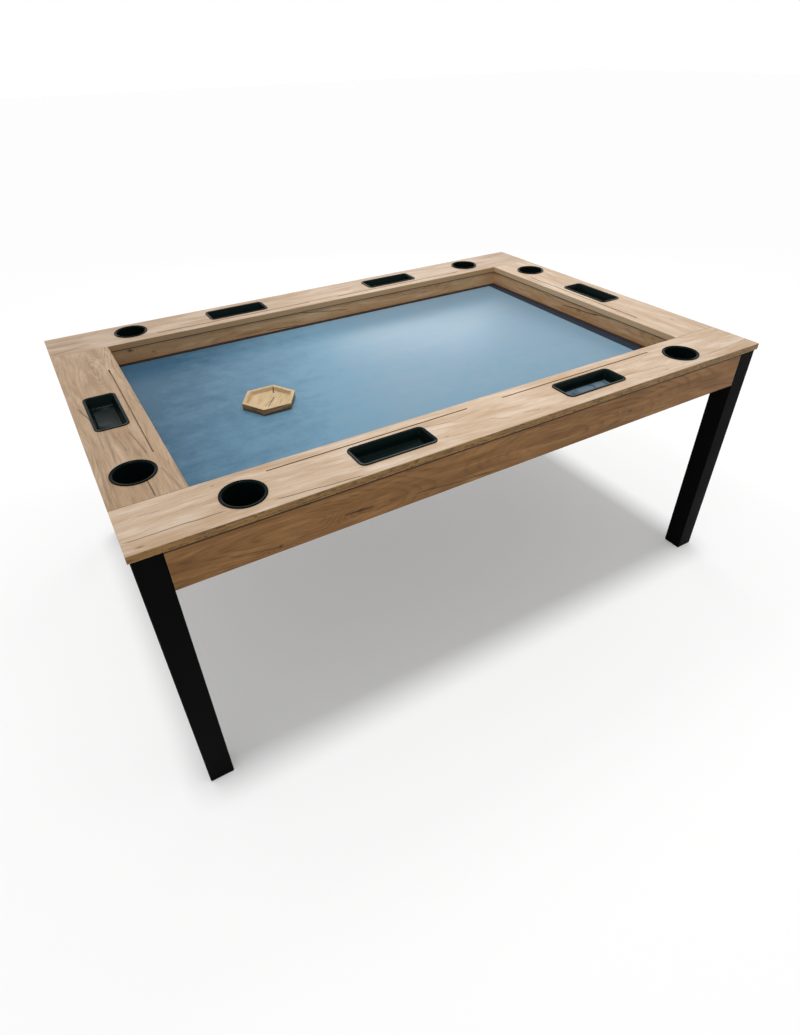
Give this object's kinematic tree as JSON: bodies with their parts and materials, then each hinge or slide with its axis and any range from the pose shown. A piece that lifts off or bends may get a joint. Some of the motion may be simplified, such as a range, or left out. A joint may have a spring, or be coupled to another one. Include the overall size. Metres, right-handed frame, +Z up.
{
  "type": "board game table",
  "caption": "Rectangular board game table: wide oak rails with lift-out cups and trays and card slots round a sunken play well with a blue mat, on square black legs.",
  "frame": {"origin": "on the floor, under the middle of the table", "axes": "+X along the table's length, +Y across it towards the back, +Z up"},
  "size_m": [1.78, 1.2, 0.7533],
  "materials": {
    "oak_top": "satin lacquered pale oak",
    "oak_edge": "satin lacquered darker oak",
    "oak_wall": "satin lacquered oak with knots",
    "plain_wood": "sawn, unlacquered",
    "floor_board": "dark laminated board",
    "mat_cloth": "blue mottled cloth on rubber",
    "black_gloss": "gloss black",
    "leg_coating": "satin black powder coat",
    "cap_plastic": "matte black",
    "bracket_steel": "zinc plated",
    "dice_tray_wood": "oiled golden oak"
  },
  "bodies": {
    "root": {"rail_front": "oak_top", "apron_front": "oak_edge", "well_wall_front": "oak_wall", "spacer_blocks_front": "plain_wood", "rail_back": "oak_top", "apron_back": "oak_edge", "well_wall_back": "oak_wall", "spacer_blocks_back": "plain_wood", "rail_left": "oak_top", "apron_left": "oak_edge", "well_wall_left": "oak_wall", "spacer_blocks_left": "plain_wood", "rail_right": "oak_top", "apron_right": "oak_edge", "well_wall_right": "oak_wall", "spacer_blocks_right": "plain_wood", "leg_front_left": "leg_coating", "leg_cap_front_left": "cap_plastic", "leg_front_right": "leg_coating", "leg_cap_front_right": "cap_plastic", "leg_back_left": "leg_coating", "leg_cap_back_left": "cap_plastic", "leg_back_right": "leg_coating", "leg_cap_back_right": "cap_plastic", "floor_bearer_left": "plain_wood", "floor_bearer_middle": "plain_wood", "floor_bearer_right": "plain_wood", "game_floor": "floor_board", "play_mat": "mat_cloth", "rail_tongues": "plain_wood", "rail_brackets": "bracket_steel", "bearer_brackets": "bracket_steel"},
    "cup_front_left": {"cup_front_left": "black_gloss"},
    "cup_front_right": {"cup_front_right": "black_gloss"},
    "cup_back_right": {"cup_back_right": "black_gloss"},
    "cup_back_left": {"cup_back_left": "black_gloss"},
    "cup_left": {"cup_left": "black_gloss"},
    "cup_right": {"cup_right": "black_gloss"},
    "tray_front_left": {"tray_front_left": "black_gloss"},
    "tray_front_right": {"tray_front_right": "black_gloss"},
    "tray_back_right": {"tray_back_right": "black_gloss"},
    "tray_back_left": {"tray_back_left": "black_gloss"},
    "tray_left": {"tray_left": "black_gloss"},
    "tray_right": {"tray_right": "black_gloss"},
    "dice_tray": {"dice_tray": "dice_tray_wood"}
  },
  "joints": [
    {"name": "lift_cup_front_left", "type": "slide", "parent": "root", "child": "cup_front_left", "axis": [0, 0, 1], "range_m": [0, 0.08]},
    {"name": "lift_cup_front_right", "type": "slide", "parent": "root", "child": "cup_front_right", "axis": [0, 0, 1], "range_m": [0, 0.08]},
    {"name": "lift_cup_back_right", "type": "slide", "parent": "root", "child": "cup_back_right", "axis": [0, 0, 1], "range_m": [0, 0.08]},
    {"name": "lift_cup_back_left", "type": "slide", "parent": "root", "child": "cup_back_left", "axis": [0, 0, 1], "range_m": [0, 0.08]},
    {"name": "lift_cup_left", "type": "slide", "parent": "root", "child": "cup_left", "axis": [0, 0, 1], "range_m": [0, 0.08]},
    {"name": "lift_cup_right", "type": "slide", "parent": "root", "child": "cup_right", "axis": [0, 0, 1], "range_m": [0, 0.08]},
    {"name": "lift_tray_front_left", "type": "slide", "parent": "root", "child": "tray_front_left", "axis": [0, 0, 1], "range_m": [0, 0.05]},
    {"name": "lift_tray_front_right", "type": "slide", "parent": "root", "child": "tray_front_right", "axis": [0, 0, 1], "range_m": [0, 0.05]},
    {"name": "lift_tray_back_right", "type": "slide", "parent": "root", "child": "tray_back_right", "axis": [0, 0, 1], "range_m": [0, 0.05]},
    {"name": "lift_tray_back_left", "type": "slide", "parent": "root", "child": "tray_back_left", "axis": [0, 0, 1], "range_m": [0, 0.05]},
    {"name": "lift_tray_left", "type": "slide", "parent": "root", "child": "tray_left", "axis": [0, 0, 1], "range_m": [0, 0.05]},
    {"name": "lift_tray_right", "type": "slide", "parent": "root", "child": "tray_right", "axis": [0, 0, 1], "range_m": [0, 0.05]},
    {"name": "lift_dice_tray", "type": "slide", "parent": "root", "child": "dice_tray", "axis": [0, 0, 1], "range_m": [0, 0.12]}
  ]
}
